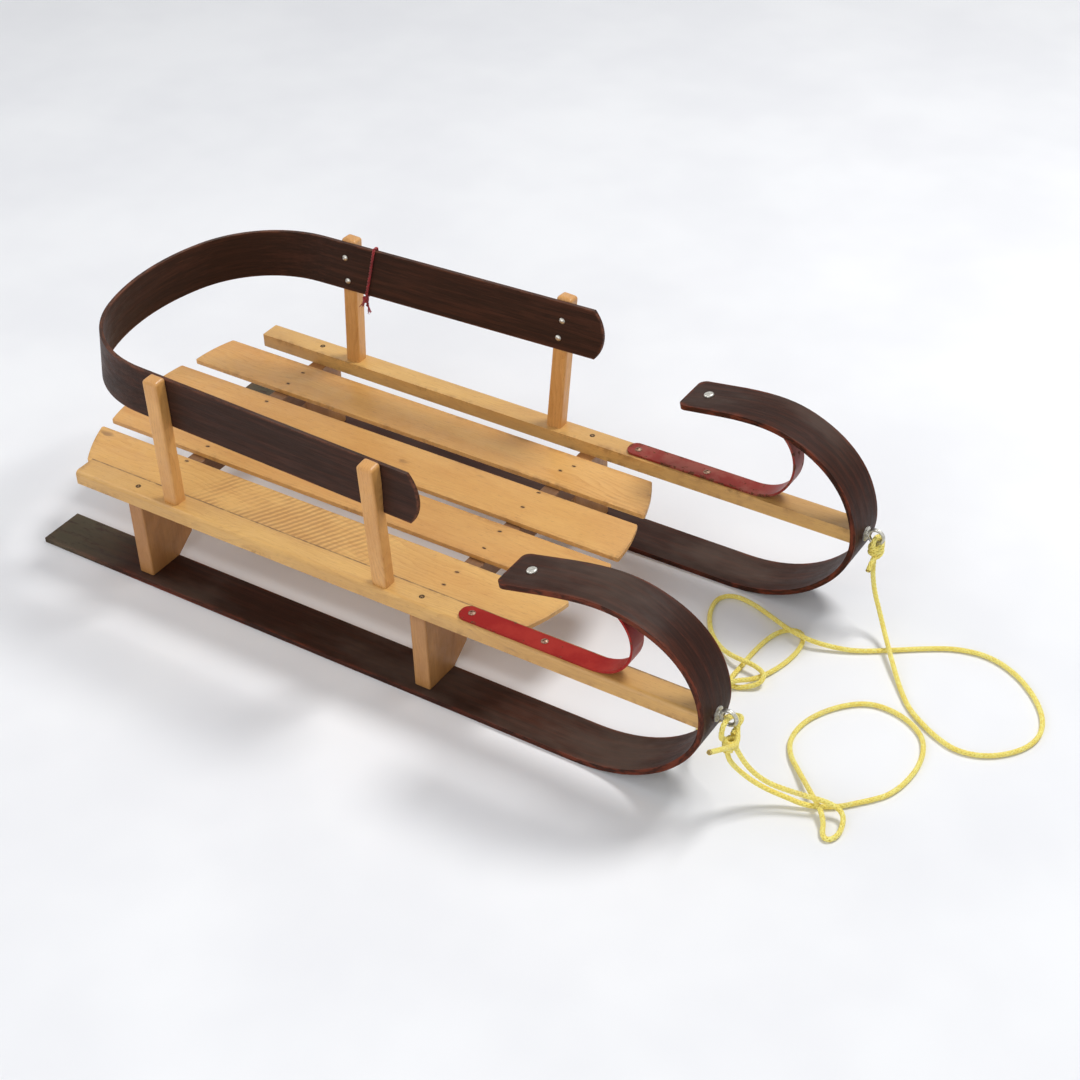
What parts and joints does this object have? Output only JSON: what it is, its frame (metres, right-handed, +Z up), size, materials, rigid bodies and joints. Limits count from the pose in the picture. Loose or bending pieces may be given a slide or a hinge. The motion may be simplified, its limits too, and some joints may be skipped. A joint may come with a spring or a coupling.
{
  "type": "wooden pull sled",
  "caption": "Wooden pull sled with two runners that curl back over their rails, a slatted deck, a bentwood guard round the seat and a pull rope.",
  "frame": {"origin": "floor level, in the middle of the sled's length and width without its rope", "axes": "+X forward, towards the curls; +Y to the sled's left; +Z up"},
  "size_m": [1.28, 0.4734, 0.3233],
  "materials": {
    "dark_wood": "dark brown stain under satin varnish",
    "pale_wood": "clear satin varnish on pale honey-coloured wood",
    "red_steel": "red paint, worn at its edges",
    "fixing_steel": "zinc plated, dull",
    "rope": "yellow braided rope",
    "string": "red frayed string"
  },
  "bodies": {
    "root": {"crossbar_front": "pale_wood", "crossbar_rear": "pale_wood", "eye_screw_left": "fixing_steel", "eye_screw_right": "fixing_steel", "guard_band": "dark_wood", "knot_left": "rope", "knot_right": "rope", "leg_front_left": "pale_wood", "leg_front_right": "pale_wood", "leg_rear_left": "pale_wood", "leg_rear_right": "pale_wood", "post_front_left": "pale_wood", "post_front_right": "pale_wood", "post_rear_left": "pale_wood", "post_rear_right": "pale_wood", "rail_left": "pale_wood", "rail_right": "pale_wood", "rope_loop": "rope", "rope_main": "rope", "runner_left": "dark_wood", "runner_right": "dark_wood", "slat_left_middle": "pale_wood", "slat_left_wide": "pale_wood", "slat_right_middle": "pale_wood", "slat_right_wide": "pale_wood", "strap_left": "red_steel", "strap_right": "red_steel", "string_tie": "string", "tip_bolt_left": "fixing_steel", "tip_bolt_right": "fixing_steel"}
  },
  "joints": []
}
